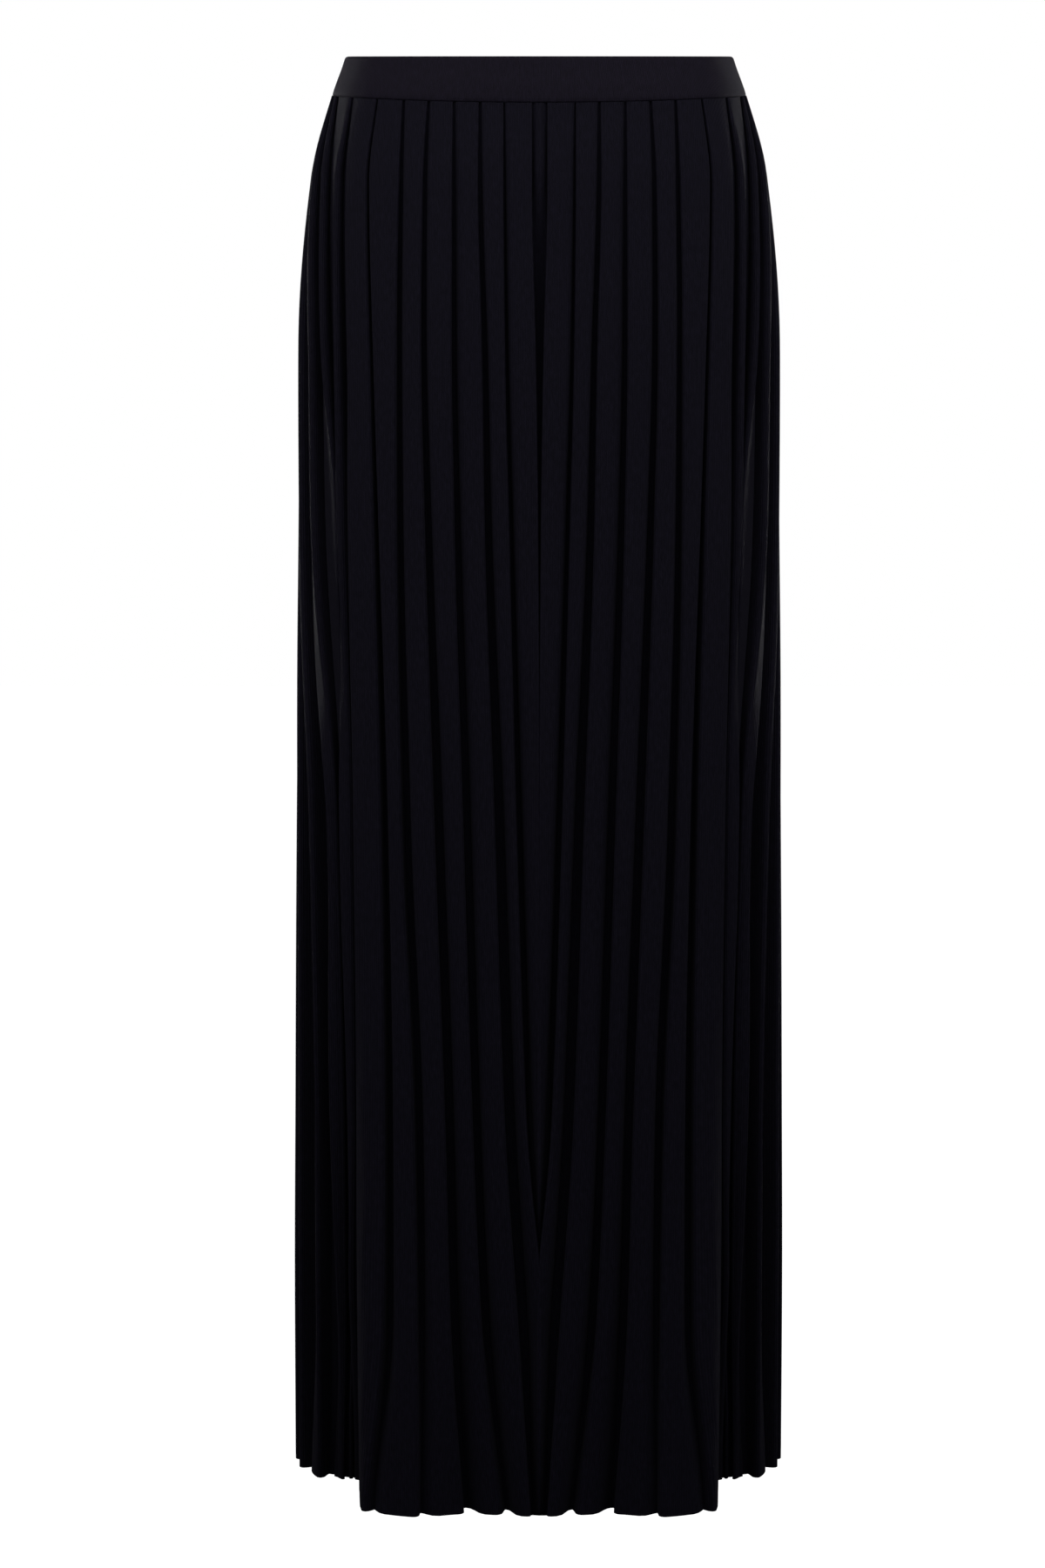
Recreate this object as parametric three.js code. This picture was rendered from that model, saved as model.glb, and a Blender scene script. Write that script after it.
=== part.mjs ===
// A knitted maxi skirt with knife pleats, filled out as if it is worn.
// Millimetres, +Z up. The origin is the centre of the waist opening, level with the waistband's top
// edge, the front faces -Y and the skirt hangs down from there. Three pieces, as a knitter links
// them: a waistband tube, a front panel and a back panel, with a seam hidden in a pleat at each side.
import * as THREE from "three";

// Driving sizes
const CLOTH = 1.2; // wall of the pleated knit
const SEAM_GAP = 0.3; // between two pieces that are linked together
const LENGTH = 970; // waistband's top edge to the hem
const BAND_FRONT = 29; // height of the waistband at the centre front and back
const BAND_SIDE = 25.5; // and at the sides, where it rides up
const BAND_WALL = 3.5; // two layers of knit with the elastic between them
const BAND_STEPS = 48; // facets round the waistband
const FRONT_SQUARE = 2.5; // superellipse power of the plan's front half, 2 being an ellipse
const BACK_SQUARE = 2.3; // and of its back half
const PLEATS = 22; // knife pleats on each half, from the centre front round to the centre back
const SEAM_PLEAT = 13; // the pleat whose underlay hides the side seam
const BACK_BOX = 9; // half the width of the box pleat at the centre back
const PLEAT_CLOTH = 40; // knit in each pleat, the same all the way down
const MIN_OVERLAP = 1.5; // how far a pleat covers the next where it has opened out
const PRESSED = 1.08; // radius of a fold where pleats lie close together
const FLAT = 6.2; // depth from a pleat's edge to the valley under it where they lie flat
const MAX_OVERLAP = 9; // and where several lie stacked
const CENTRE_OVERLAP = 9; // of the inverted pleat at the centre front
const SETTLE_FROM = 480; // below this the sides fall back and the hem takes its own line
const RINGS = [30, 65, 120, 220, 400, 580, 700, 790, 880, 970]; // heights cut, down from the top

// The body under the cloth and the pleats, on the way down. halfWidth, front and back are the plan's
// reach from the axis, radius is that of an open fold, depth is from a pleat's edge to the valley
// under it, and bow is how far the middle of its face bulges.
const LEVELS = [
  { level: "seam", down: 30, halfWidth: 138, front: 96, back: 95, radius: 1, depth: 6.2, bow: 0 },
  { level: "highHip", down: 80, halfWidth: 152, front: 104, back: 112, radius: 1, depth: 7, bow: 0 },
  { level: "hip", down: 190, halfWidth: 161, front: 109, back: 126, radius: 1, depth: 8.5, bow: 0.3 },
  { level: "upper", down: 300, halfWidth: 162, front: 110, back: 123, radius: 1, depth: 9.5, bow: 0.5 },
  { level: "mid", down: 500, halfWidth: 164.5, front: 112, back: 119, radius: 1.1, depth: 11, bow: 1 },
  { level: "lower", down: 700, halfWidth: 167, front: 115, back: 119, radius: 1.3, depth: 12, bow: 1.8 },
  { level: "low", down: 880, halfWidth: 169.5, front: 119, back: 121, radius: 1.8, depth: 13, bow: 3 },
  { level: "hem", down: LENGTH, halfWidth: 170, front: 122, back: 122, radius: 2.5, depth: 14, bow: 4 },
];

// Where each pleat's folded edge lies: the distance round the plain outline from the centre front, at
// each level. Then, at the hem, the depth of the valley under it, how much the face after it bulges,
// and how far it has settled back.
const EDGES = [
  { seam: 5.5, highHip: 5.5, hip: 3, upper: 1.8, mid: 1.5, lower: 1.5, low: 1.5, hem: 1.5, valley: 9, bow: 2, behind: 4 },
  { seam: 24, highHip: 24, hip: 23, upper: 20.5, mid: 13.5, lower: 7, low: 3, hem: 3, valley: 9, bow: 2, behind: 4 },
  { seam: 40, highHip: 40.5, hip: 38, upper: 36.5, mid: 29, lower: 20, low: 10, hem: 6.5, valley: 10, bow: 2, behind: 4 },
  { seam: 57, highHip: 57.5, hip: 58, upper: 56.5, mid: 51, lower: 44, low: 34, hem: 21, valley: 14, bow: 4, behind: 7 },
  { seam: 74, highHip: 77, hip: 78.5, upper: 76.5, mid: 70.5, lower: 62, low: 56, hem: 48, valley: 18, bow: 5, behind: 7 },
  { seam: 91.5, highHip: 93.5, hip: 95.5, upper: 96, mid: 92, lower: 84, low: 82, hem: 80, valley: 13, bow: 11, behind: -6 },
  { seam: 111.5, highHip: 117.5, hip: 115, upper: 112.5, mid: 107, lower: 104, low: 107, hem: 115, valley: 12, bow: -1, behind: -8 },
  { seam: 136, highHip: 142.5, hip: 140, upper: 137.5, mid: 132, lower: 128, low: 126, hem: 128, valley: 10, bow: 2, behind: -13 },
  { seam: 153, highHip: 153, hip: 149, upper: 144, mid: 137, lower: 133, low: 130, hem: 132, valley: 11, bow: 4, behind: 22 },
  { seam: 170, highHip: 171, hip: 167, upper: 156, mid: 146, lower: 139, low: 134, hem: 134, valley: 12, bow: 4, behind: 53 },
  { seam: 187, highHip: 190, hip: 188, upper: 182, mid: 166, lower: 155, low: 152, hem: 147, valley: 12, bow: 4, behind: 60 },
  { seam: 203, highHip: 208, hip: 210, upper: 206, mid: 191, lower: 178, low: 172, hem: 175, valley: 13, bow: 4, behind: 40 },
  { seam: 220, highHip: 227, hip: 231, upper: 226, mid: 211, lower: 202, low: 192, hem: 197, valley: 14, bow: 4, behind: 40 },
];
const BEHIND_REST = [23, 13, 6]; // the next pleats have settled back this much, and the rest not at all

// The waistband's outside: at is the share of its height from the top.
const BAND_LINE = [
  { at: 0, halfWidth: 128.6, front: 92, back: 89 },
  { at: 0.3, halfWidth: 131.2, front: 93.5, back: 90.5 },
  { at: 0.65, halfWidth: 134.6, front: 95.5, back: 93 },
  { at: 1, halfWidth: 137.8, front: 96.5, back: 95.5 },
];

// A smooth curve through a table's numbers that never overshoots them.
function through(xs, ys, x) {
  const last = xs.length - 1;
  if (x <= xs[0]) return ys[0];
  if (x >= xs[last]) return ys[last];
  const slope = (i) => (ys[i + 1] - ys[i]) / (xs[i + 1] - xs[i]);
  const tangent = (i) => {
    if (i === 0) return slope(0);
    if (i === last) return slope(last - 1);
    const product = slope(i - 1) * slope(i);
    return product <= 0 ? 0 : (2 * product) / (slope(i - 1) + slope(i));
  };
  const i = xs.findIndex((_, n) => x < xs[n + 1]);
  const gap = xs[i + 1] - xs[i];
  const t = (x - xs[i]) / gap;
  return (
    (1 + 2 * t) * (1 - t) ** 2 * ys[i] +
    t * (1 - t) ** 2 * gap * tangent(i) +
    t * t * (3 - 2 * t) * ys[i + 1] +
    t * t * (t - 1) * gap * tangent(i + 1)
  );
}

const downs = LEVELS.map((row) => row.down);
const atLevel = (key, down) => through(downs, LEVELS.map((row) => row[key]), down);
const settled = (down) => Math.max(0, (down - SETTLE_FROM) / (LENGTH - SETTLE_FROM)) ** 2;

// A point of a superellipse plan, turned from 0 at the centre front through +X to pi at the back.
function planPoint(turn, halfWidth, front, back) {
  const ahead = Math.cos(turn) > 0;
  const power = 2 / (ahead ? FRONT_SQUARE : BACK_SQUARE);
  const y = Math.abs(Math.cos(turn)) ** power * (ahead ? -front : back);
  return [halfWidth * Math.abs(Math.sin(turn)) ** power, y];
}

// Points spaced evenly along a line of [x, y, ...] points, about `spacing` apart.
function evenly(points, spacing) {
  const along = [0];
  for (let i = 1; i < points.length; i++)
    along.push(along[i - 1] + Math.hypot(points[i][0] - points[i - 1][0], points[i][1] - points[i - 1][1]));
  const length = along[along.length - 1];
  const count = Math.round(length / spacing);
  const out = [];
  for (let k = 0, i = 0; k <= count; k++) {
    const want = (length * k) / count;
    while (i < points.length - 2 && along[i + 1] < want) i++;
    const t = Math.min(1, (want - along[i]) / (along[i + 1] - along[i]));
    out.push(points[i].map((value, n) => value + (points[i + 1][n] - value) * t));
  }
  return { points: out, step: length / count };
}

// Each folded edge's distance round the plain outline at a height, all the way to the centre back.
function edgesAt(down, half) {
  const edges = EDGES.map((row) => through(downs, LEVELS.map((level) => row[level.level]), down));
  const from = edges[edges.length - 1];
  const rest = PLEATS - edges.length;
  for (let k = 1; k <= rest; k++) edges.push(from + ((half - BACK_BOX - from) * k) / rest);
  return edges;
}

// Half of the cloth's outline at a height: evenly spaced [x, y, distance round the plain outline].
function outline(down) {
  const reach = ["halfWidth", "front", "back"].map((key) => atLevel(key, down));
  const dense = [];
  for (let i = 0; i <= 720; i++) dense.push(planPoint((Math.PI * i) / 720, ...reach));
  const plain = evenly(dense, 1);
  const half = plain.step * (plain.points.length - 1);
  const edges = edgesAt(down, half);
  const behind = [...EDGES.map((row) => row.behind), ...BEHIND_REST];
  while (behind.length < PLEATS) behind.push(0);
  const xs = [0, ...edges, half];
  const ys = [behind[0], ...behind, 0];
  const share = settled(down);
  const moved = plain.points.map(([x, y], i) => [x, y + share * through(xs, ys, i * plain.step), i * plain.step]);
  let line = evenly(moved, 2.5);
  for (let pass = 0; pass < 10; pass++) {
    const p = line.points;
    const last = p.length - 1;
    const mirror = (q, end) => [-q[0], q[1], 2 * end - q[2]];
    line.points = p.map((q, i) => {
      const before = i === 0 ? mirror(p[1], 0) : p[i - 1];
      const after = i === last ? mirror(p[last - 1], half) : p[i + 1];
      return q.map((value, n) => (before[n] + 2 * value + after[n]) / 4);
    });
  }
  line = evenly(line.points, 2.5);
  return { ...line, edges };
}

// The folds of one half at a height, from the centre front, worked out from the back forwards so that
// each pleat lies on the one before it: how far round its edge is and how deep, how far it overlaps,
// the valley under it, the space between its two layers, and how much the face after it bulges.
function foldsAt(down, line) {
  const { points, step } = line;
  const arcs = line.edges.map((edge) => {
    const i = Math.max(0, points.findIndex((p, n) => n < points.length - 1 && points[n + 1][2] >= edge));
    const span = points[i + 1][2] - points[i][2];
    return step * (i + Math.min(1, Math.max(0, (edge - points[i][2]) / span)));
  });
  const folds = [];
  let edge = 0;
  for (let j = PLEATS - 1; j >= 0; j--) {
    const pitch = j > 0 ? arcs[j] - arcs[j - 1] : 2 * arcs[0];
    const hem = EDGES[j] ?? { valley: LEVELS[LEVELS.length - 1].depth, bow: LEVELS[LEVELS.length - 1].bow };
    const own = (key, atHem) => atLevel(key, down) + settled(down) * (atHem - LEVELS[LEVELS.length - 1][key]);
    const open = Math.min(1, Math.max(0, (pitch - 6) / 10));
    const depth = FLAT + (own("depth", hem.valley) - FLAT) * open;
    const next = folds[0];
    const run = next ? next.at + next.overlap - arcs[j] : 2 * BACK_BOX;
    const slant = next ? Math.hypot(1, (next.valley - edge) / run) : 1;
    const lay = 2 * PRESSED * slant;
    const layer = lay + 2 * (atLevel("radius", down) - PRESSED) * open;
    const ahead = next ? next.at - arcs[j] : 2 * BACK_BOX;
    const bow = own("bow", hem.bow) * Math.min(1, Math.max(0, (ahead - 6) / 10));
    let overlap = MIN_OVERLAP;
    const cloth = (u) => Math.hypot(pitch + u, depth) + Math.hypot(u, depth - 2 * layer) + 2 * layer;
    while (overlap < MAX_OVERLAP && cloth(overlap) < PLEAT_CLOTH) overlap += 0.1;
    if (j === 0) overlap = CENTRE_OVERLAP;
    if (j === PLEATS - 1) overlap = Math.min(overlap, BACK_BOX - 1.5);
    const under = next ? ((next.valley - edge) * overlap) / run : 0;
    const valley = edge + Math.max(depth, under + layer + lay);
    folds.unshift({ at: arcs[j], edge, overlap, valley, layer, bow });
    const share = pitch / (pitch + overlap);
    const covered = edge + layer + lay - valley * share;
    edge = Math.max(0, covered / (1 - share));
  }
  return folds;
}

// The plan position of a point so far round the outline and so deep behind it.
function place(line, along, depth) {
  const { points, step } = line;
  const last = points.length - 1;
  const at = (k) => {
    if (k < 0) return [-points[-k][0], points[-k][1]];
    if (k > last) return [-points[2 * last - k][0], points[2 * last - k][1]];
    return points[k];
  };
  const mix = (f) => {
    const k = Math.floor(f);
    const [a, b] = [at(k), at(k + 1)];
    return [a[0] + (b[0] - a[0]) * (f - k), a[1] + (b[1] - a[1]) * (f - k)];
  };
  const f = Math.min(last - 1e-6, Math.max(1e-6, along / step));
  const [before, here, after] = [mix(f - 2), mix(f), mix(f + 2)];
  const run = Math.hypot(after[0] - before[0], after[1] - before[1]);
  return [here[0] - ((after[1] - before[1]) / run) * depth, here[1] + ((after[0] - before[0]) / run) * depth];
}

// The middle of the cloth at a height: the right half of the front panel from the centre out to the
// seam, then the right half of the back panel from the seam to the centre back.
function middleLine(down) {
  const line = outline(down);
  const folds = foldsAt(down, line);
  const turns = folds.map((fold, j) => {
    const before = folds[j - 1];
    const valleyAt = fold.at + fold.overlap;
    const middle = before && [(before.at + valleyAt) / 2, (before.edge + fold.valley) / 2 - before.bow];
    return {
      face: middle ? [place(line, ...middle)] : [],
      valley: place(line, valleyAt, fold.valley),
      turn: place(line, valleyAt, fold.valley - fold.layer),
      under: place(line, fold.at, fold.edge + fold.layer),
      edge: place(line, fold.at, fold.edge),
    };
  });
  const whole = (t) => [...t.face, t.valley, t.turn, t.under, t.edge];
  const seam = turns[SEAM_PLEAT - 1];
  const run = Math.hypot(seam.under[0] - seam.turn[0], seam.under[1] - seam.turn[1]);
  const join = (shift) => seam.turn.map((v, n) => v + (seam.under[n] - v) * (0.5 + shift / run));
  return {
    front: [...turns.slice(0, SEAM_PLEAT - 1).flatMap(whole), ...seam.face, seam.valley, seam.turn, join(-SEAM_GAP / 2)],
    back: [join(SEAM_GAP / 2), seam.under, seam.edge, ...turns.slice(SEAM_PLEAT).flatMap(whole)],
  };
}

// The two faces of a cloth whose middle is a line in plan, mitred at its corners.
function faces(points) {
  const unit = (a, b) => {
    const run = Math.hypot(b[0] - a[0], b[1] - a[1]);
    return [(b[0] - a[0]) / run, (b[1] - a[1]) / run];
  };
  const last = points.length - 1;
  const sides = points.map((p, i) => {
    const into = i > 0 ? unit(points[i - 1], p) : unit(p, points[1]);
    const out = i < last ? unit(p, points[i + 1]) : into;
    const reach = (CLOTH / 2) / Math.max(0.45, (1 + into[0] * out[0] + into[1] * out[1]) / 2);
    const shift = [((into[1] + out[1]) / 2) * reach, (-(into[0] + out[0]) / 2) * reach];
    return [
      [p[0] + shift[0], p[1] + shift[1]],
      [p[0] - shift[0], p[1] - shift[1]],
    ];
  });
  return { outer: sides.map((s) => s[0]), inner: sides.map((s) => s[1]) };
}

const mirrored = (points) => points.map(([x, y]) => [-x, y]).reverse();

// The waistband's lower edge: lowest at the centre front and back.
const bandHeight = (x) => BAND_FRONT - (BAND_FRONT - BAND_SIDE) * Math.min(1, Math.abs(x) / 138) ** 2;

// A ring between closed loops of [x, y, z], where the last loop joins the first again.
function ring(loops) {
  const count = loops[0].length;
  const index = [];
  for (let r = 0; r < loops.length; r++)
    for (let k = 0; k < count; k++) {
      const [here, beside] = [r * count, ((r + 1) % loops.length) * count];
      const next = (k + 1) % count;
      index.push(here + k, here + next, beside + next, here + k, beside + next, beside + k);
    }
  return mesh(loops.flat(), index);
}

function mesh(positions, index) {
  const geometry = new THREE.BufferGeometry();
  geometry.setAttribute("position", new THREE.Float32BufferAttribute(positions.flat(), 3));
  geometry.setIndex(index);
  return geometry;
}

// A pleated panel: at each height the outer face one way and the inner face back, closed at the top
// and the hem.
function panel(pick) {
  const rings = RINGS.map((down, level) => {
    const { outer, inner } = faces(pick(middleLine(down)));
    const z = ([x]) => (level === 0 ? -(bandHeight(x) + SEAM_GAP) : -down);
    return [outer, inner].map((side) => side.map((p) => [p[0], p[1], z(p)]));
  });
  const count = rings[0][0].length;
  const positions = [];
  for (const [outer, inner] of rings) positions.push(...outer, ...inner);
  const index = [];
  const quad = (a, b, c, d, left) => index.push(...(left ? [a, b, d, b, c, d] : [a, b, c, a, c, d]));
  const id = (ring, side, k) => (ring * 2 + side) * count + k;
  const lastRing = rings.length - 1;
  for (let r = 0; r < lastRing; r++) {
    for (let k = 0; k < count - 1; k++) {
      const left = rings[r][0][k][0] + rings[r][0][k + 1][0] < 0; // so that the two halves mirror
      quad(id(r, 0, k), id(r + 1, 0, k), id(r + 1, 0, k + 1), id(r, 0, k + 1), left);
      quad(id(r, 1, k), id(r, 1, k + 1), id(r + 1, 1, k + 1), id(r + 1, 1, k), left);
    }
    quad(id(r, 0, 0), id(r, 1, 0), id(r + 1, 1, 0), id(r + 1, 0, 0));
    quad(id(r, 0, count - 1), id(r + 1, 0, count - 1), id(r + 1, 1, count - 1), id(r, 1, count - 1));
  }
  for (let k = 0; k < count - 1; k++) {
    quad(id(0, 0, k), id(0, 0, k + 1), id(0, 1, k + 1), id(0, 1, k));
    quad(id(lastRing, 0, k + 1), id(lastRing, 0, k), id(lastRing, 1, k), id(lastRing, 1, k + 1));
  }
  return mesh(positions, index);
}

// The waistband: a tube whose top edge is rounded over.
function waistband() {
  const profile = [
    { inward: 0, at: 1 },
    { inward: 0, at: 0.65 },
    { inward: 0, at: 0.3 },
    { inward: 0.4, at: 0.04 },
    { inward: BAND_WALL / 2, at: 0 },
    { inward: BAND_WALL, at: 0.06 },
    { inward: BAND_WALL, at: 1 },
  ];
  const ats = BAND_LINE.map((row) => row.at);
  const loops = profile.map(({ inward, at }) => {
    const [halfWidth, front, back] = ["halfWidth", "front", "back"].map(
      (key) => through(ats, BAND_LINE.map((row) => row[key]), at) - inward,
    );
    const loop = [];
    for (let k = 0; k < BAND_STEPS; k++) {
      const turn = (2 * Math.PI * (k + 0.5)) / BAND_STEPS;
      const [x, y] = planPoint(turn > Math.PI ? 2 * Math.PI - turn : turn, halfWidth, front, back);
      loop.push([turn > Math.PI ? -x : x, y, -at * bandHeight(x)]);
    }
    return loop;
  });
  return ring(loops);
}

const piece = (name, geometry, color) => {
  const part = new THREE.Mesh(geometry, new THREE.MeshStandardMaterial({ color, roughness: 0.9, metalness: 0 }));
  part.name = name;
  return part;
};

const model = new THREE.Group();
model.add(
  piece("waistband", waistband(), 0x16141b),
  piece("skirt_front", panel(({ front }) => [...mirrored(front), ...front]), 0x100f15),
  piece("skirt_back", panel(({ back }) => [...back, ...mirrored(back)]), 0x100f15),
);
export default model;
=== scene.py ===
# A knitted maxi skirt with knife pleats, filled out as if it is worn: a waistband tube, and a front
# and a back panel whose pleats run away from the centre front. Tables are in millimetres and the
# meshes in metres. The origin is the centre of the waist opening, level with its top edge, the
# front faces -Y and +Z is up.
import math

import bpy
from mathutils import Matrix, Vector


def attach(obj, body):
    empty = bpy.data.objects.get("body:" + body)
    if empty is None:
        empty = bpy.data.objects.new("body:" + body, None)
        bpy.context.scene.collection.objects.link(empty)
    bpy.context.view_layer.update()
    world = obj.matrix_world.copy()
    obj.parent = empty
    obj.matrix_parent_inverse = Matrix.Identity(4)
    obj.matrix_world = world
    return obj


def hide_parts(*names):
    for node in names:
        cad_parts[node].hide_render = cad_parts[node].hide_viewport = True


MM = 0.001
CLOTH = 1.2  # wall of the pleated knit
SEAM_GAP = 0.3  # between one piece and the next
LENGTH = 970.0  # waistband's top edge to the hem
PANEL_TOP = 30.0  # the panels' first row, which follows the waistband's lower edge
EASE_DOWN = 60.0  # the rows are level again this far below it
BAND_FRONT = 29.0  # height of the waistband at the centre front and back
BAND_SIDE = 25.5
BAND_HALF = 138.0  # half its width at the lower edge
BAND_WALL = 3.5
BAND_STEPS = 240  # points round the waistband
BAND_MIDDLE = 14  # the point of its section that lies half way down the outside
LINK_RIDGE = 2.4  # how far the linked seam stands out inside, over the tops of the pleats
FRONT_SQUARE = 2.5  # power of the plan's squarish ellipse in front, and behind
BACK_SQUARE = 2.3
PLEATS = 22  # each side of the centre
SEAM_PLEAT = 13  # the side seam lies in this pleat's underlay
BACK_BOX = 9.0  # half the box pleat at the centre back
PLEAT_CLOTH = 40.0  # cloth that one pleat takes, face and underlay
MAX_OVERLAP = 9.0  # the most that a pleat laps over the one before
CENTRE_OVERLAP = 8.0  # and what the first one laps over the inverted pleat
ROOM_LEFT = 1.5  # what a pleat's underlay leaves free before the next groove
PRESSED = 0.64  # half of what one layer of pressed cloth takes up
SHUT_AT = 4.0  # folds whose edges are this close are pressed flat
OPEN_AT = 12.0  # and at this distance they are as open as their level says
SETTLE_FROM = 480.0  # the outline begins to settle here
OUTLINE_STEP = 2.5  # between the points of the outline
SMOOTHINGS = 10  # times the settled outline is smoothed
HEM_FROM = 700.0  # the folds begin to open into the hem's lobes here
UNDERLAY_DROP = 5.0  # how much lower the centre pleat's underlay hangs at the hem
UNDERLAY_FROM = 780.0  # and where it starts to
UNDERLAY_POINTS = 8  # points either side of the centre that the underlay takes
SMOOTH_ANGLE = math.radians(50)

TURN_STEPS = 5  # points round each turn of a fold
FLAT_STEPS = 5  # points across the flat of a face
ROLL_STEPS = 5  # points round the rounding from a face down into the groove
FACE_DROP = 0.6  # how far a plain face falls on its way to the shoulder
FULL_FALL = 6.0  # a side fold's face falls by its whole measure when it is this wide
LEAST_RUN = 0.3  # the least width of a face, of its rounding and of the groove's floor
INMOST_DEPTH = 0.9  # the centre pleat's underlay comes up to this depth under the waistband
INMOST_TO = 115.0  # it is back at its own depth here
INMOST_EASE = 45.0  # having taken this long
ROWS = ((30, 6, 10), (90, 12, 65), (870, 10, 11))  # a panel's rows: first, apart, how many

# The banks' powers in watts, and how bright the air round the skirt is.
AIR, FRONT_BANK, SIDE_BANK, RIM_BANK = 0.02, 15.0, 11.0, 1.3

# The camera: its lens, its place in metres, and how many degrees it looks down.
LENS = 106.5
CAMERA_AT = (-0.0111, -3.122, 0.008)
LOOK_DOWN = 9.06

# down: how far below the top edge the level is. halfWidth, front, back: the outline's reach from
# the axis. crest, crease: the radii of a fold's outer and inner turn. depth: from its edge to the
# floor of the groove before it. gap: how wide that floor shows. roll: the width of the rounding
# from the face down to it. tuck: the least that the fold laps over.
LEVEL_KEYS = (
    "down", "halfWidth", "front", "back", "crest", "crease", "depth", "gap", "roll", "tuck",
)
LEVELS = [
    dict(zip(LEVEL_KEYS, row))
    for row in (
        (30, 138, 96, 95, 0.65, 0.65, 3, 1.7, 0.9, 2),
        (80, 152, 104, 112, 0.9, 0.8, 6, 2.3, 1.3, 2),
        (190, 161, 109, 126, 1.1, 1, 10, 2.8, 1.7, 2),
        (300, 162, 110, 123, 1.3, 1, 11.5, 3.4, 2.2, 2),
        (500, 164.5, 112, 119, 1.6, 1.1, 12.5, 4.6, 3.5, 2),
        (700, 167, 115, 119, 2.0, 1.2, 13, 5, 5, 1.5),
        (840, 169, 118, 120.5, 2.6, 1.3, 13.5, 4.8, 7, 1),
        (LENGTH, 170, 122, 122, 4.0, 1.4, 13.5, 1, 13, -5),
    )
]

# at: distance of each folded edge round the outline from the centre front, at each of those levels.
# Edges at nothing or less have met at the centre. wide: how wide the groove beside it is next to
# the others. soft: how much wider its far shoulder rounds off, above SOFT_TO. valley: the groove's
# depth at the hem.
EDGE_KEYS = ("at", "wide", "soft", "valley")
EDGES = [
    dict(zip(EDGE_KEYS, row))
    for row in (
        ((5.5, 5.5, 3, 1.4, 0.2, 0, 0, 0), 1, 0, 9),
        ((24, 24, 23, 20.5, 15.5, 8.7, -4, -12), 0.9, 2, 12),
        ((40, 40.5, 38, 36.5, 30, 23.5, 14.5, 6), 1.5, 0.5, 13),
        ((57, 57.5, 58, 56.5, 51, 45, 39, 26), 1.1, 5, 13),
        ((74, 77, 78.5, 76.5, 70.5, 63.5, 59.5, 51), 1.2, 3, 14),
        ((91.5, 93.5, 95.5, 96, 93, 85, 83, 82), 1.1, 3, 9),
        ((111.5, 117.5, 115, 112.5, 108, 106, 107, 121), 0.9, 0, 9),
        ((136, 142.5, 140, 137.5, 132, 131.5, 133, 134), 1, 0, 6),
        ((163, 160.5, 153.5, 143.5, 143, 139, 138, 139), 1, 0, 6),
        ((190, 186, 171, 168, 147.5, 143, 142, 143), 1, 0, 7),
        ((210, 211, 205, 198, 172, 165, 164, 164), 1, 0, 11),
        ((226, 229, 229, 225, 203, 196, 196, 198), 1, 0, 13),
        ((240, 245, 247, 243, 226, 220, 220, 222), 1.2, 0, 14),
    )
]
SOFT_TO = 750.0

# A fold past the table has these.
PLAIN_FOLD = dict(wide=1, soft=0, valley=LEVELS[-1]["depth"])

# These folds, counted from the centre, have a tighter shoulder.
TIGHT_FOLDS = (9, 10, 11, 12)
TIGHT_ROLL = 0.6

# The folds at the side, counted from the centre, puff out at their edges and their faces fall away
# behind. sink: how far the edge lies below the outline. fall: how far the face drops (or, if less
# than nothing, rises) beyond it. puff: the edge's radius. gap: its groove's width. Each is given at
# the levels above.
SIDE = {
    8: dict(
        sink=(0.5, 0, 0, 0.5, 2, 1.5, 0, 0),
        fall=(0, 4, 7, 6, -2, -1, 0, 0),
        puff=(0.7, 2.6, 3, 3.8, 2, 2, 2, 3),
        gap=(3, 7, 6.8, 3.8, 1, 2.5, 3.5, 3),
    ),
    9: dict(
        sink=(0.5, 0, 0, 2, 8, 8, 8, 3),
        fall=(2, 5, 7, 5, 0, 0, 0, 0),
        puff=(0.7, 2.6, 3, 1.5, 1.3, 1.3, 1.3, 1.3),
        gap=(8, 5, 3, 2, 0.6, 0.6, 0.6, 0.6),
    ),
    10: dict(
        sink=(0.5, 0, 0, 0, 4, 5, 5, 2),
        fall=(2, 5, 7, 7, -4, -5, -5, -2),
        puff=(0.7, 2.6, 3, 3.4, 2, 2, 2, 3),
        gap=(6, 4, 3, 3, 1, 1, 1, 1),
    ),
    11: dict(
        sink=(0.5, 0, 0, 0, 0, 0, 0, 0),
        fall=(2, 5, 7, 7, 9, 9, 9, 4),
        puff=(0.7, 2.6, 3, 3, 2.4, 2, 2, 3),
        gap=(6, 4, 3, 4, 16.5, 10, 10, 6),
    ),
    12: dict(
        sink=(0.5, 0, 0, 0, 0, 0, 0, 0),
        fall=(1, 4, 6, 6, 5, 5, 5, 4),
        puff=(0.7, 2.4, 2.8, 2.8, 2.4, 2, 2, 3),
        gap=(4, 3, 3, 3, 5, 5, 5, 3),
    ),
    13: dict(
        sink=(0.5, 0, 0, 0, 0, 0, 0, 0),
        fall=(0, 2, 3, 3, 3, 3, 3, 2),
        puff=(0.7, 1.6, 2, 2, 2, 2, 2, 3),
        gap=(3, 3, 3, 3, 4, 4, 4, 2),
    ),
}

# Where the cloth has settled back, or swung forward, at the hem, by distance round the outline.
SETTLED = [
    (0, 4), (20, 4), (26, 7), (51, 7), (80, -6), (112, -8), (123, -12), (128.5, 46), (137, 52),
    (144, 50), (155, 43), (165, 38), (174, 34), (219, 30), (240, 20), (262, 13), (282, 6), (305, 0),
]

# The waistband's outside: share of its height from the top, then its reach to the side, to the
# front and to the back.
BAND_LINE = [
    (0, 128.6, 92, 89),
    (0.3, 131.2, 93.5, 90.5),
    (0.65, 134.6, 95.5, 93),
    (1, 137.8, 96.5, 95.5),
]


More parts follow.
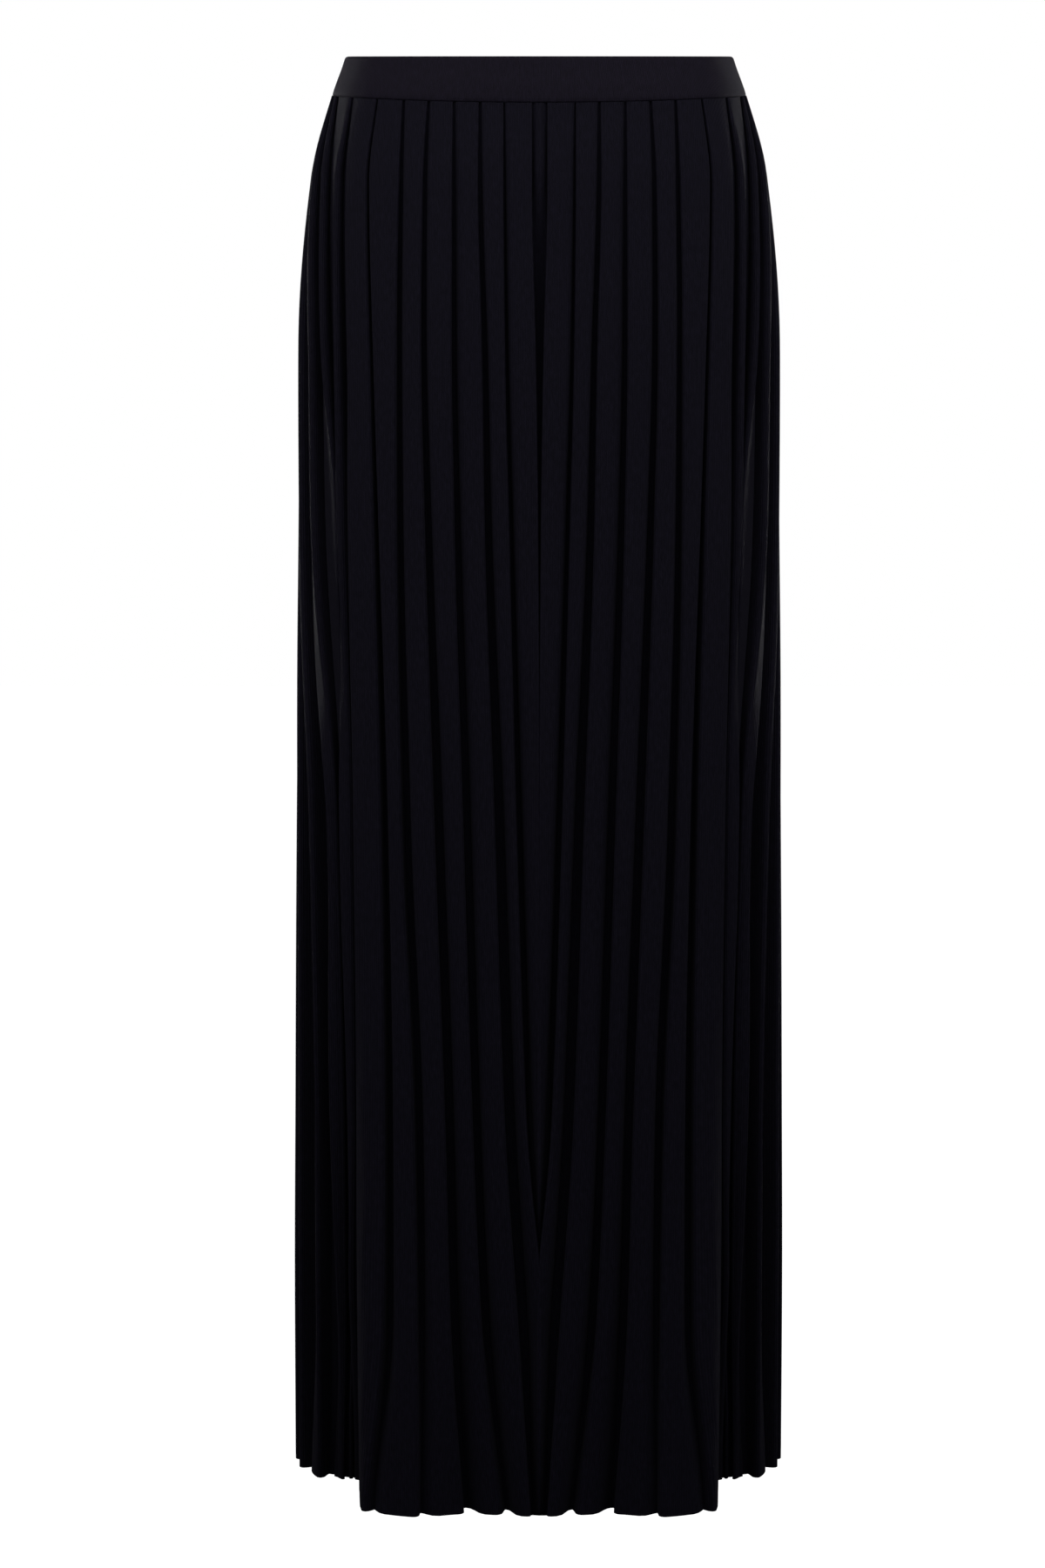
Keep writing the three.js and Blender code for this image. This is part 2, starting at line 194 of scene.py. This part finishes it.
def through(xs, ys, x):
    """A smooth curve through a table's numbers that never overshoots them."""
    last = len(xs) - 1
    if x <= xs[0]:
        return ys[0]
    if x >= xs[last]:
        return ys[last]

    def slope(i):
        return (ys[i + 1] - ys[i]) / (xs[i + 1] - xs[i])

    def tangent(i):
        if i == 0:
            return slope(0)
        if i == last:
            return slope(last - 1)
        product = slope(i - 1) * slope(i)
        return 0 if product <= 0 else 2 * product / (slope(i - 1) + slope(i))

    i = next(n for n in range(last) if x < xs[n + 1])
    gap = xs[i + 1] - xs[i]
    t = (x - xs[i]) / gap
    return (
        (1 + 2 * t) * (1 - t) ** 2 * ys[i]
        + t * (1 - t) ** 2 * gap * tangent(i)
        + t * t * (3 - 2 * t) * ys[i + 1]
        + t * t * (t - 1) * gap * tangent(i + 1)
    )


DOWNS = [row["down"] for row in LEVELS]


def at_level(key, down):
    return through(DOWNS, [row[key] for row in LEVELS], down)


def clamp(value):
    return min(1.0, max(0.0, value))


def lengths_along(points):
    """The running length of a line at each of its points, in plan."""
    along = [0.0]
    for a, b in zip(points, points[1:]):
        along.append(along[-1] + math.hypot(b[0] - a[0], b[1] - a[1]))
    return along


def mixed(a, b, share):
    return tuple(p + (q - p) * share for p, q in zip(a, b))


def plan_point(turn, half_width, front, back):
    """A point of the plan, turned so far from the centre front."""
    ahead = math.cos(turn) > 0
    power = 2 / (FRONT_SQUARE if ahead else BACK_SQUARE)
    y = abs(math.cos(turn)) ** power * (-front if ahead else back)
    return (half_width * abs(math.sin(turn)) ** power, y)


def evenly(points, spacing):
    """The same line as evenly spaced points, and the spacing that they really have."""
    along = lengths_along(points)
    count = round(along[-1] / spacing)
    out = []
    i = 0
    for k in range(count + 1):
        want = along[-1] * k / count
        while i < len(points) - 2 and along[i + 1] < want:
            i += 1
        t = min(1.0, (want - along[i]) / (along[i + 1] - along[i]))
        out.append(mixed(points[i], points[i + 1], t))
    return out, along[-1] / count


def edges_at(down, half):
    """Each folded edge's distance round the outline. Past the table they are evenly spaced."""
    edges = [max(0.0, through(DOWNS, row["at"], down)) for row in EDGES]
    start = edges[-1]
    rest = PLEATS - len(edges)
    return edges + [start + (half - BACK_BOX - start) * k / rest for k in range(1, rest + 1)]


def outline(down):
    """Half of the cloth's outline at a height, evenly spaced, and each fold's place on it."""
    reach = [at_level(key, down) for key in ("halfWidth", "front", "back")]
    fine = 720
    plain, step = evenly([plan_point(math.pi * i / fine, *reach) for i in range(fine + 1)], 1)
    half = step * (len(plain) - 1)
    edges = edges_at(down, half)
    rounds, moves = zip(*SETTLED)
    share = max(0.0, (down - SETTLE_FROM) / (LENGTH - SETTLE_FROM)) ** 2
    moved = [
        (x, y + share * through(rounds, moves, i * step), i * step)
        for i, (x, y) in enumerate(plain)
    ]
    points, step = evenly(moved, OUTLINE_STEP)
    for _ in range(SMOOTHINGS):
        first = (-points[1][0], points[1][1], -points[1][2])
        final = (-points[-2][0], points[-2][1], 2 * half - points[-2][2])
        padded = [first, *points, final]
        points = [
            tuple((a + 2 * b + c) / 4 for a, b, c in zip(*padded[i : i + 3]))
            for i in range(len(points))
        ]
    points, step = evenly(points, OUTLINE_STEP)
    last = len(points) - 2
    arcs = []
    for edge in edges:
        i = next((n for n in range(last + 1) if points[n + 1][2] >= edge), last)
        span = points[i + 1][2] - points[i][2]
        arcs.append(step * (i + clamp((edge - points[i][2]) / span)))
    return points, step, arcs


def rounding(across, wave):
    """How far down a face's rounding is, so far across it: crisp, or like a wave at the hem."""
    crisp = 1 - math.sqrt(1 - across * across)
    return crisp + ((1 - math.cos(math.pi * across)) / 2 - crisp) * wave


def side_level(fold, key, down):
    """A side fold's own measure at a height, or None for the other folds."""
    if fold + 1 not in SIDE:
        return None
    return through(DOWNS, SIDE[fold + 1][key], down)


def folds_at(down, arcs):
    """The folds of one half, from the centre out. The last is worked out first, because each lies
    over the far edge of the one before."""
    hem_share = clamp((down - HEM_FROM) / (LENGTH - HEM_FROM)) ** 1.5
    # The wider shoulders come in just under the waistband and are gone at SOFT_TO.
    soft_share = clamp((SOFT_TO - down) / 300) * clamp((down + 20) / 100)
    folds = []
    for j in range(PLEATS - 1, -1, -1):
        own = EDGES[j] if j < len(EDGES) else PLAIN_FOLD
        before = arcs[j] - arcs[j - 1] if j else 2 * arcs[0]
        room = folds[0]["at"] - folds[0]["gap"] - arcs[j] if folds else BACK_BOX
        depth = at_level("depth", down) + hem_share * (own["valley"] - PLAIN_FOLD["valley"])
        gap = side_level(j, "gap", down) or at_level("gap", down) * own["wide"]
        roll = at_level("roll", down) * (TIGHT_ROLL if j + 1 in TIGHT_FOLDS else 1)
        roll += own["soft"] * soft_share

        # Where two edges come close, the cloth between them is pressed flat.
        open_share = clamp((before - SHUT_AT) / (OPEN_AT - SHUT_AT))
        crest = side_level(j, "puff", down) or at_level("crest", down)
        crest = PRESSED + (crest - PRESSED) * open_share
        crease = PRESSED + (at_level("crease", down) - PRESSED) * open_share

        # An edge that reaches past the next face's shoulder sinks into the groove with it.
        edge = side_level(j, "sink", down) or 0.0
        if folds:
            after = folds[0]
            start = after["at"] - after["gap"] - after["roll"]
            lost = clamp((arcs[j] + crest - start) / (after["roll"] + after["gap"]))
            edge = max(edge, (after["valley"] - after["crest"]) * rounding(lost, hem_share))

        # The two turns need this much depth. Two fat ones lie partly beside each other.
        turns = 2 * (crest + crease) if crest + crease < 4 else 2 * crease + crest
        overlap = clamp((PLEAT_CLOTH - before - 2 * depth) / 2 / MAX_OVERLAP) * MAX_OVERLAP
        overlap = max(at_level("tuck", down), min(overlap, room - ROOM_LEFT))
        if j == 0:
            overlap = CENTRE_OVERLAP
            crest = crease = PRESSED
        fold = dict(
            at=arcs[j],
            edge=edge,
            overlap=overlap,
            valley=max(edge / 2 + depth, edge + turns),
            crest=crest,
            crease=crease,
            gap=gap,
            roll=roll,
            fall=side_level(j, "fall", down) or 0.0,
            wave=hem_share,
        )
        folds.insert(0, fold)
    return folds


def place(points, step, along, depth):
    """The plan position of a point so far round the outline and so deep behind it."""
    last = len(points) - 1

    def at(k):
        if k < 0:
            return (-points[-k][0], points[-k][1])
        if k > last:
            return (-points[2 * last - k][0], points[2 * last - k][1])
        return points[k]

    def mix(f):
        k = math.floor(f)
        return mixed(at(k), at(k + 1), f - k)

    f = along / step
    before, here, after = mix(f - 2), mix(f), mix(f + 2)
    across, ahead = after[0] - before[0], after[1] - before[1]
    run = math.hypot(across, ahead)
    return (here[0] - ahead / run * depth, here[1] + across / run * depth)


def turn_angle(fold):
    """How far the cloth has swung round, in radians, where it leaves the valley for the crest."""
    reach = fold["crest"] + fold["crease"]
    across = reach - fold["overlap"]
    up = reach - (fold["valley"] - fold["edge"])
    gap = math.hypot(across, up)
    return math.atan2(across, up) % (2 * math.pi) - math.acos(min(1.0, reach / gap))


def valley_turn(fold):
    """The fold's inner turn, from the groove's floor round to the hidden return."""
    radius = fold["crease"]
    centre = (fold["at"] + fold["overlap"] - radius, fold["valley"] - radius)
    swing = turn_angle(fold)
    angles = [swing * k / (TURN_STEPS - 1) for k in range(TURN_STEPS)]
    return [(centre[0] + radius * math.sin(a), centre[1] + radius * math.cos(a)) for a in angles]


def crest_turn(fold):
    """The fold's outer turn, from the hidden return round to its face."""
    radius = fold["crest"]
    centre = (fold["at"] + radius, fold["edge"] + radius)
    swing = turn_angle(fold)
    angles = [swing * (1 - k / (TURN_STEPS - 1)) for k in range(TURN_STEPS)]
    return [(centre[0] - radius * math.sin(a), centre[1] - radius * math.cos(a)) for a in angles]


def return_line(fold, shares):
    """Points of the hidden return, by their share of the way from inner turn to outer turn."""
    start, end = valley_turn(fold)[-1], crest_turn(fold)[0]
    return [mixed(start, end, share) for share in shares]


def face_line(before, fold):
    """The visible face beyond a fold's crest, flat or swelling out, then rolling into a groove."""
    start, high = before["at"] + before["crest"], before["edge"]
    end, low = fold["at"] + fold["overlap"] - fold["crease"], fold["valley"]
    floor = min(max(fold["at"] - fold["gap"], start + 2 * LEAST_RUN), end - LEAST_RUN)
    shoulder = max(floor - fold["roll"], min(start + LEAST_RUN, floor - LEAST_RUN))
    drop = FACE_DROP + before["fall"] * clamp((shoulder - start) / FULL_FALL)
    # A rise comes early, a deep fall nearly evenly and a plain face's small one late.
    power = 0.6 if drop < 0 else 0.8 if drop > 1 else 2
    line = []
    for k in range(1, FLAT_STEPS + 1):
        t = k / FLAT_STEPS
        line.append((start + (shoulder - start) * t, high + drop * t**power))
    for k in range(1, ROLL_STEPS + 1):
        x = math.sin(math.pi / 2 * k / ROLL_STEPS)
        y = rounding(x, fold["wave"])
        line.append((shoulder + (floor - shoulder) * x, high + drop + (low - high - drop) * y))
    line.append((floor + (end - floor) / 2, low))
    return line


def half_lines(down):
    """The middle of the cloth at a height in plan: the front's right half from the centre out to
    the seam, and the back's from the seam to the centre back."""
    points, step, arcs = outline(down)
    folds = folds_at(down, arcs)

    def turned(fold):
        return valley_turn(fold) + return_line(fold, (0.5,)) + crest_turn(fold)

    def pleat(j):
        return face_line(folds[j - 1], folds[j]) + turned(folds[j])

    # The centre pleat's underlay comes up behind its two edges close under the waistband.
    inmost = folds[0]
    under = valley_turn(inmost)[0][1]
    swell = (inmost["valley"] - INMOST_DEPTH) * clamp((INMOST_TO - down) / INMOST_EASE)
    front = [(inmost["at"] * x, under - swell * y) for x, y in ((0, 1), (0.4, 0.85), (0.75, 0))]
    front += turned(inmost)
    for j in range(1, SEAM_PLEAT - 1):
        front += pleat(j)

    # The side seam lies in the middle of its pleat's hidden return.
    seam = folds[SEAM_PLEAT - 1]
    run = math.hypot(*(p - q for p, q in zip(valley_turn(seam)[-1], crest_turn(seam)[0])))
    nip = SEAM_GAP / 2 / run
    front += face_line(folds[SEAM_PLEAT - 2], seam) + valley_turn(seam)
    front += return_line(seam, (0.25, 0.5 - nip))
    back = return_line(seam, (0.5 + nip, 0.75)) + crest_turn(seam)
    for j in range(SEAM_PLEAT, PLEATS):
        back += pleat(j)

    # The box pleat at the centre back.
    half = step * (len(points) - 1)
    box = folds[-1]["at"] + folds[-1]["crest"]
    back += [(box + (half - box) * k / 3, folds[-1]["edge"]) for k in (1, 2, 3)]
    return [[place(points, step, along, depth) for along, depth in line] for line in (front, back)]


# How many points a pleat takes along a half line, and which points are the middles of the crests.
PLEAT_POINTS = FLAT_STEPS + ROLL_STEPS + 1 + TURN_STEPS + 1 + TURN_STEPS
FIRST_CREST = 3 + TURN_STEPS + 1 + TURN_STEPS // 2
FRONT_ANCHORS = [0] + [FIRST_CREST + PLEAT_POINTS * k for k in range(SEAM_PLEAT - 1)]
BACK_ANCHORS = [2 + TURN_STEPS // 2 + PLEAT_POINTS * k for k in range(PLEATS - SEAM_PLEAT + 1)]


def cloth_across(line, anchors):
    """How far each point of a half line lies across the flat cloth: every pleat takes as much."""
    arc = lengths_along(line)
    out = []
    for i, here in enumerate(arc):
        n = max([k for k, anchor in enumerate(anchors) if anchor <= i], default=0)
        start = arc[anchors[n]]
        share = PLEAT_CLOTH / (arc[anchors[n + 1]] - start) if n + 1 < len(anchors) else 1.0
        out.append(PLEAT_CLOTH * n + (here - start) * share)
    return out


def band_height(x):
    return BAND_FRONT - (BAND_FRONT - BAND_SIDE) * min(1.0, abs(x) / BAND_HALF) ** 2


def seam_height(x, down):
    """Depth below the top edge of a row that starts along the waistband's lower edge."""
    ease = clamp((down - PANEL_TOP) / EASE_DOWN)
    lift = band_height(x) + SEAM_GAP - PANEL_TOP
    return down + lift * (1 - ease * ease * (3 - 2 * ease))


def hem_drop(from_centre, down):
    """How much lower the centre pleat's underlay hangs, so many points away from the centre."""
    near = clamp((UNDERLAY_POINTS - from_centre) / (UNDERLAY_POINTS / 2))
    return UNDERLAY_DROP * near * clamp((down - UNDERLAY_FROM) / (LENGTH - UNDERLAY_FROM)) ** 2


def new_piece(name, mesh):
    piece = bpy.data.objects.new(name, mesh)
    bpy.context.scene.collection.objects.link(piece)
    return piece


def select_only(piece):
    bpy.ops.object.select_all(action="DESELECT")
    piece.select_set(True)
    bpy.context.view_layer.objects.active = piece


def cloth_mesh(name, rows, across):
    """A sheet of cloth with its wall, and a UV map in metres: across the cloth and down it."""
    count = len(rows[0])
    verts = [point for row in rows for point in row]
    faces = []
    for r in range(len(rows) - 1):
        for k in range(count - 1):
            a = r * count + k
            faces.append((a, a + count, a + count + 1, a + 1))
    mesh = bpy.data.meshes.new(name)
    mesh.from_pydata(verts, [], faces)
    flat = [(u, -z) for row, us in zip(rows, across) for (_, _, z), u in zip(row, us)]
    uv = mesh.uv_layers.new(name="cloth")
    for loop in mesh.loops:
        uv.data[loop.index].uv = flat[loop.vertex_index]
    piece = new_piece(name, mesh)
    select_only(piece)
    wall = piece.modifiers.new("wall", "SOLIDIFY")
    wall.thickness = CLOTH * MM
    wall.offset = 0
    wall.use_rim = True
    bpy.ops.object.modifier_apply(modifier=wall.name)
    bpy.ops.object.shade_smooth_by_angle(angle=SMOOTH_ANGLE)
    return piece


def make_panels():
    """The front and the back panel, each mirrored about the centre."""
    front_rows, back_rows, front_flat, back_flat = [], [], [], []
    for down in [start + apart * k for start, apart, count in ROWS for k in range(count)]:
        front, back = half_lines(down)
        across = cloth_across(front, FRONT_ANCHORS)
        row = [(-x, y) for x, y in front[:0:-1]] + front
        drops = [hem_drop(abs(k + 1 - len(front)), down) for k in range(len(row))]
        front_rows.append(
            [
                (x * MM, y * MM, -(seam_height(x, down) + drop) * MM)
                for (x, y), drop in zip(row, drops)
            ]
        )
        front_flat.append([-u * MM for u in across[:0:-1]] + [u * MM for u in across])
        across = cloth_across(back, BACK_ANCHORS)
        end = across[-1]
        row = back + [(-x, y) for x, y in back[-2::-1]]
        back_rows.append([(x * MM, y * MM, -seam_height(x, down) * MM) for x, y in row])
        back_flat.append([u * MM for u in across] + [(2 * end - u) * MM for u in across[-2::-1]])
    return (
        cloth_mesh("front_panel", front_rows, front_flat),
        cloth_mesh("back_panel", back_rows, back_flat),
    )


def band_profile(height):
    """The waistband's section, as how far in from its outside and how far down each point lies. It
    runs over the rolled top edge, down the outside, round the linked seam and up the inside."""
    roll = BAND_WALL / 2
    inmost = BAND_WALL + LINK_RIDGE
    angles = [math.pi * k / 8 for k in range(9)]
    profile = [(roll * (1 + math.cos(a)), roll * (1 - math.sin(a))) for a in angles]
    profile += [(0.0, roll + (height - 1.2 - roll) * k / 12) for k in range(1, 12)]
    profile += [(0.15, height - 0.8), (0.6, height - 0.15), (1.1, height)]
    profile += [(inmost - 0.7, height), (inmost - 0.2, height - 0.2), (inmost, height - 0.8)]
    profile += [(inmost - 0.4, height - 1.5), (BAND_WALL + 0.4, height - 2.4)]
    profile += [(BAND_WALL, height - 3.5 - (height - 5.5 - roll) * k / 6) for k in range(7)]
    return profile


def make_waistband():
    """A knitted tube, folded over its elastic at the top, with a soft roll where it is linked."""
    ats = [row[0] for row in BAND_LINE]
    height = (BAND_FRONT + BAND_SIDE) / 2
    profile = band_profile(height)
    verts = []
    for inward, down in profile:
        at = clamp(down / height)
        reach = [through(ats, [row[k] for row in BAND_LINE], at) - inward for k in (1, 2, 3)]
        for k in range(BAND_STEPS):
            turn = 2 * math.pi * k / BAND_STEPS
            left = turn > math.pi
            x, y = plan_point(2 * math.pi - turn if left else turn, *reach)
            x = -x if left else x
            verts.append((x * MM, y * MM, -at * band_height(x) * MM))

    # The cloth map runs round the band's middle line and along the section.
    start = BAND_MIDDLE * BAND_STEPS
    middle = verts[start : start + BAND_STEPS]
    girth = lengths_along(middle + middle[:1])
    along = lengths_along(profile + profile[:1])
    faces, corners = [], []
    count = len(profile)
    for n in range(count):
        m = (n + 1) % count
        for k in range(BAND_STEPS):
            j = (k + 1) % BAND_STEPS
            faces.append([r * BAND_STEPS + c for r, c in ((n, k), (m, k), (m, j), (n, j))])
            u0, u1, v0, v1 = girth[k], girth[k + 1], along[n] * MM, along[n + 1] * MM
            corners += [(u0, v0), (u0, v1), (u1, v1), (u1, v0)]
    mesh = bpy.data.meshes.new("waistband_tube")
    mesh.from_pydata(verts, [], faces)
    uv = mesh.uv_layers.new(name="cloth")
    for loop, value in zip(uv.data, corners):
        loop.uv = value
    piece = new_piece("waistband_tube", mesh)
    select_only(piece)
    bpy.ops.object.shade_smooth_by_angle(angle=SMOOTH_ANGLE)
    return piece


def socket(group, name, kind, way="INPUT", value=None):
    item = group.interface.new_socket(name=name, in_out=way, socket_type=kind)
    if value is not None:
        item.default_value = value


def math_node(tree, operation, a, b=None, clamped=False):
    """A maths node's result. Each of a and b is a number or another node's result."""
    node = tree.nodes.new("ShaderNodeMath")
    node.operation = operation
    node.use_clamp = clamped
    for index, value in enumerate((a, b)):
        if isinstance(value, (int, float)):
            node.inputs[index].default_value = value
        elif value is not None:
            tree.links.new(value, node.inputs[index])
    return node.outputs[0]


def knit_group():
    """Fine knit on a piece's cloth map: wales of small V stitches, and the yarn's mottle."""
    slant = 1.6  # how far a stitch rises from the middle of its wale to the groove, in courses
    stitch_height = 0.18  # next to the wale's
    group = bpy.data.node_groups.new("fine_knit", "ShaderNodeTree")
    socket(group, "Cloth", "NodeSocketVector")
    socket(group, "Wales per metre", "NodeSocketFloat", value=800.0)
    socket(group, "Courses per metre", "NodeSocketFloat", value=1000.0)
    for name in ("Height", "Groove", "Mottle"):
        socket(group, name, "NodeSocketFloat", "OUTPUT")
    given = group.nodes.new("NodeGroupInput")
    out = group.nodes.new("NodeGroupOutput")
    split = group.nodes.new("ShaderNodeSeparateXYZ")
    group.links.new(given.outputs["Cloth"], split.inputs[0])

    across = math_node(group, "MULTIPLY", split.outputs["X"], given.outputs["Wales per metre"])
    wale = math_node(group, "SUBTRACT", math_node(group, "FRACT", across), 0.5)
    wale = math_node(group, "ABSOLUTE", wale)
    # The groove is nothing in mid wale and 1 between two.
    groove = math_node(group, "SINE", math_node(group, "MULTIPLY", wale, math.pi))
    down = math_node(group, "MULTIPLY", split.outputs["Y"], given.outputs["Courses per metre"])
    slanted = math_node(group, "SUBTRACT", down, math_node(group, "MULTIPLY", wale, slant))
    stitch = math_node(group, "SINE", math_node(group, "MULTIPLY", slanted, 2 * math.pi))
    stitch = math_node(group, "MULTIPLY", math_node(group, "ADD", stitch, 1.0), stitch_height)
    height = math_node(group, "SUBTRACT", math_node(group, "SUBTRACT", 1.0, groove), stitch)
    group.links.new(height, out.inputs["Height"])
    group.links.new(math_node(group, "POWER", groove, 3.0), out.inputs["Groove"])

    stretch = group.nodes.new("ShaderNodeMapping")
    stretch.inputs["Scale"].default_value = (560.0, 190.0, 1.0)
    group.links.new(given.outputs["Cloth"], stretch.inputs["Vector"])
    noise = group.nodes.new("ShaderNodeTexNoise")
    noise.inputs["Scale"].default_value = 1.0
    noise.inputs["Detail"].default_value = 3.0
    noise.inputs["Roughness"].default_value = 0.6
    group.links.new(stretch.outputs[0], noise.inputs["Vector"])
    spread = math_node(group, "SUBTRACT", noise.outputs[0], 0.5)
    spread = math_node(group, "MULTIPLY", spread, 2.0)
    mottle = math_node(group, "ADD", spread, 0.5, clamped=True)
    group.links.new(mottle, out.inputs["Mottle"])
    return group


def knit_material(name, group, wales, courses, dark, light, depth, roughness):
    """A close knit of near-black navy yarn, dark to light, with painted shade in its wale grooves.
    Its wales are depth metres high.
    """
    groove_shade = 0.45  # how much the painted shade darkens the groove between two wales
    mottle_roughness = 0.15
    material = bpy.data.materials.new(name)
    material.use_nodes = True
    tree = material.node_tree
    shader = tree.nodes["Principled BSDF"]
    shader.inputs["Specular IOR Level"].default_value = 0.08
    shader.inputs["Sheen Weight"].default_value = 0.012
    shader.inputs["Sheen Roughness"].default_value = 0.45
    shader.inputs["Sheen Tint"].default_value = (0.85, 0.82, 1.0, 1.0)

    cloth = tree.nodes.new("ShaderNodeUVMap")
    cloth.uv_map = "cloth"
    knit = tree.nodes.new("ShaderNodeGroup")
    knit.node_tree = group
    knit.inputs["Wales per metre"].default_value = wales
    knit.inputs["Courses per metre"].default_value = courses
    tree.links.new(cloth.outputs["UV"], knit.inputs["Cloth"])

    # Painted shade: the base colour is darkened in the grooves between wales, where shade would
    # fall.
    painted_groove_shade = math_node(tree, "MULTIPLY", knit.outputs["Groove"], groove_shade)
    lift = math_node(tree, "SUBTRACT", knit.outputs["Mottle"], painted_groove_shade, clamped=True)
    mix = tree.nodes.new("ShaderNodeMix")
    mix.data_type = "RGBA"
    mix.inputs["A"].default_value = (*dark, 1.0)
    mix.inputs["B"].default_value = (*light, 1.0)
    tree.links.new(lift, mix.inputs["Factor"])
    tree.links.new(mix.outputs["Result"], shader.inputs["Base Color"])

    rough = math_node(tree, "MULTIPLY", knit.outputs["Mottle"], mottle_roughness)
    rough = math_node(tree, "ADD", rough, roughness)
    tree.links.new(rough, shader.inputs["Roughness"])

    bump = tree.nodes.new("ShaderNodeBump")
    bump.inputs["Strength"].default_value = 0.55
    bump.inputs["Distance"].default_value = depth
    tree.links.new(knit.outputs["Height"], bump.inputs["Height"])
    tree.links.new(bump.outputs[0], shader.inputs["Normal"])
    return material


def make_floor():
    """A plain pale floor, well below the hem, that lights nothing."""
    low, reach = -LENGTH * MM - 0.42, 7.0
    mesh = bpy.data.meshes.new("studio_floor")
    corners = [(-reach, -reach), (reach, -reach), (reach, reach), (-reach, reach)]
    mesh.from_pydata([(x, y, low) for x, y in corners], [], [(0, 1, 2, 3)])
    piece = new_piece("studio_floor", mesh)
    paper = bpy.data.materials.new("pale_paper")
    paper.use_nodes = True
    shader = paper.node_tree.nodes["Principled BSDF"]
    shader.inputs["Base Color"].default_value = (0.9, 0.9, 0.9, 1.0)
    shader.inputs["Roughness"].default_value = 0.9
    shader.inputs["Specular IOR Level"].default_value = 0.1
    shader.inputs["Emission Color"].default_value = (1.0, 1.0, 1.0, 1.0)
    shader.inputs["Emission Strength"].default_value = 1.0
    mesh.materials.append(paper)
    piece.visible_diffuse = False
    piece.visible_glossy = False


def area_light(name, place_at, aim, size, power, spread=180):
    data = bpy.data.lights.new(name, "AREA")
    data.shape = "RECTANGLE"
    data.size, data.size_y = size
    data.energy = power
    data.spread = math.radians(spread)
    light = bpy.data.objects.new(name, data)
    light.location = place_at
    light.rotation_euler = (Vector(aim) - Vector(place_at)).to_track_quat("-Z", "Y").to_euler()
    bpy.context.scene.collection.objects.link(light)


def make_world():
    """Dim air round the skirt, and plain white behind it."""
    world = bpy.data.worlds.new("studio_air")
    world.use_nodes = True
    tree = world.node_tree
    air = tree.nodes["Background"]
    air.inputs["Color"].default_value = (1.0, 1.0, 1.0, 1.0)
    air.inputs["Strength"].default_value = AIR
    white = tree.nodes.new("ShaderNodeBackground")
    white.inputs["Color"].default_value = (1.0, 1.0, 1.0, 1.0)
    path = tree.nodes.new("ShaderNodeLightPath")
    either = tree.nodes.new("ShaderNodeMixShader")
    tree.links.new(path.outputs["Is Camera Ray"], either.inputs[0])
    tree.links.new(air.outputs[0], either.inputs[1])
    tree.links.new(white.outputs[0], either.inputs[2])
    tree.links.new(either.outputs[0], tree.nodes["World Output"].inputs["Surface"])
    bpy.context.scene.world = world


def light_studio():
    """A tent of soft banks round the top half, so that the light falls away towards the hem, and a
    small bank behind each side for the edges of the side folds."""
    make_world()
    area_light("front_bank", (0, -1.3, 0.75), (0, 0, 0.15), (2.6, 0.9), FRONT_BANK)
    for side, x in (("left", -1), ("right", 1)):
        area_light(
            "side_bank_" + side, (1.4 * x, -0.6, 0.62), (0, 0, 0.15), (1.8, 0.9), SIDE_BANK
        )
        area_light(
            "rim_bank_" + side, (0.9 * x, 0.88, -0.25), (0, 0, -0.25), (0.4, 0.5), RIM_BANK,
            spread=70,
        )
    bpy.context.scene.view_settings.view_transform = "Standard"


def set_camera():
    """The camera stands 3 m in front of the skirt and looks down on it a little."""
    data = bpy.data.cameras.new("camera")
    data.sensor_width = 36.0
    data.sensor_height = 36.0
    data.sensor_fit = "AUTO"
    data.lens = LENS
    data.clip_end = 50.0
    camera = bpy.data.objects.new("camera", data)
    camera.location = CAMERA_AT
    camera.rotation_euler = (math.radians(90 - LOOK_DOWN), 0.0, 0.0)
    bpy.context.scene.collection.objects.link(camera)
    bpy.context.scene.camera = camera


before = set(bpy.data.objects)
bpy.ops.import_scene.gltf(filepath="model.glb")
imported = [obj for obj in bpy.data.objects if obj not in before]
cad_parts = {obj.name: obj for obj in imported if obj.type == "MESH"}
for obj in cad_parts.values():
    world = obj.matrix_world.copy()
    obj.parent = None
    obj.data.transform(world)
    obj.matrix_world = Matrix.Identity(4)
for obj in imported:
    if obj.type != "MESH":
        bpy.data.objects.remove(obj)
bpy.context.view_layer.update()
set_camera()

front_panel, back_panel = make_panels()
waistband_tube = make_waistband()

fine_knit = knit_group()
pleat_knit = knit_material(
    "pleat_knit",
    fine_knit,
    wales=800,
    courses=950,
    dark=(0.0043, 0.0038, 0.0077),
    light=(0.0108, 0.0095, 0.0182),
    depth=0.0005,
    roughness=0.77,
)
band_knit = knit_material(
    "band_knit",
    fine_knit,
    wales=900,
    courses=1100,
    dark=(0.007, 0.0055, 0.0104),
    light=(0.014, 0.0113, 0.0212),
    depth=0.0003,
    roughness=0.72,
)

for piece, node, material, slot in (
    (front_panel, "skirt_front", pleat_knit, "pleat_knit"),
    (back_panel, "skirt_back", pleat_knit, "pleat_knit"),
    (waistband_tube, "waistband", band_knit, "band_knit"),
):
    piece.data.materials.append(material)
    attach(piece, "root")
    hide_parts(node)

make_floor()
light_studio()
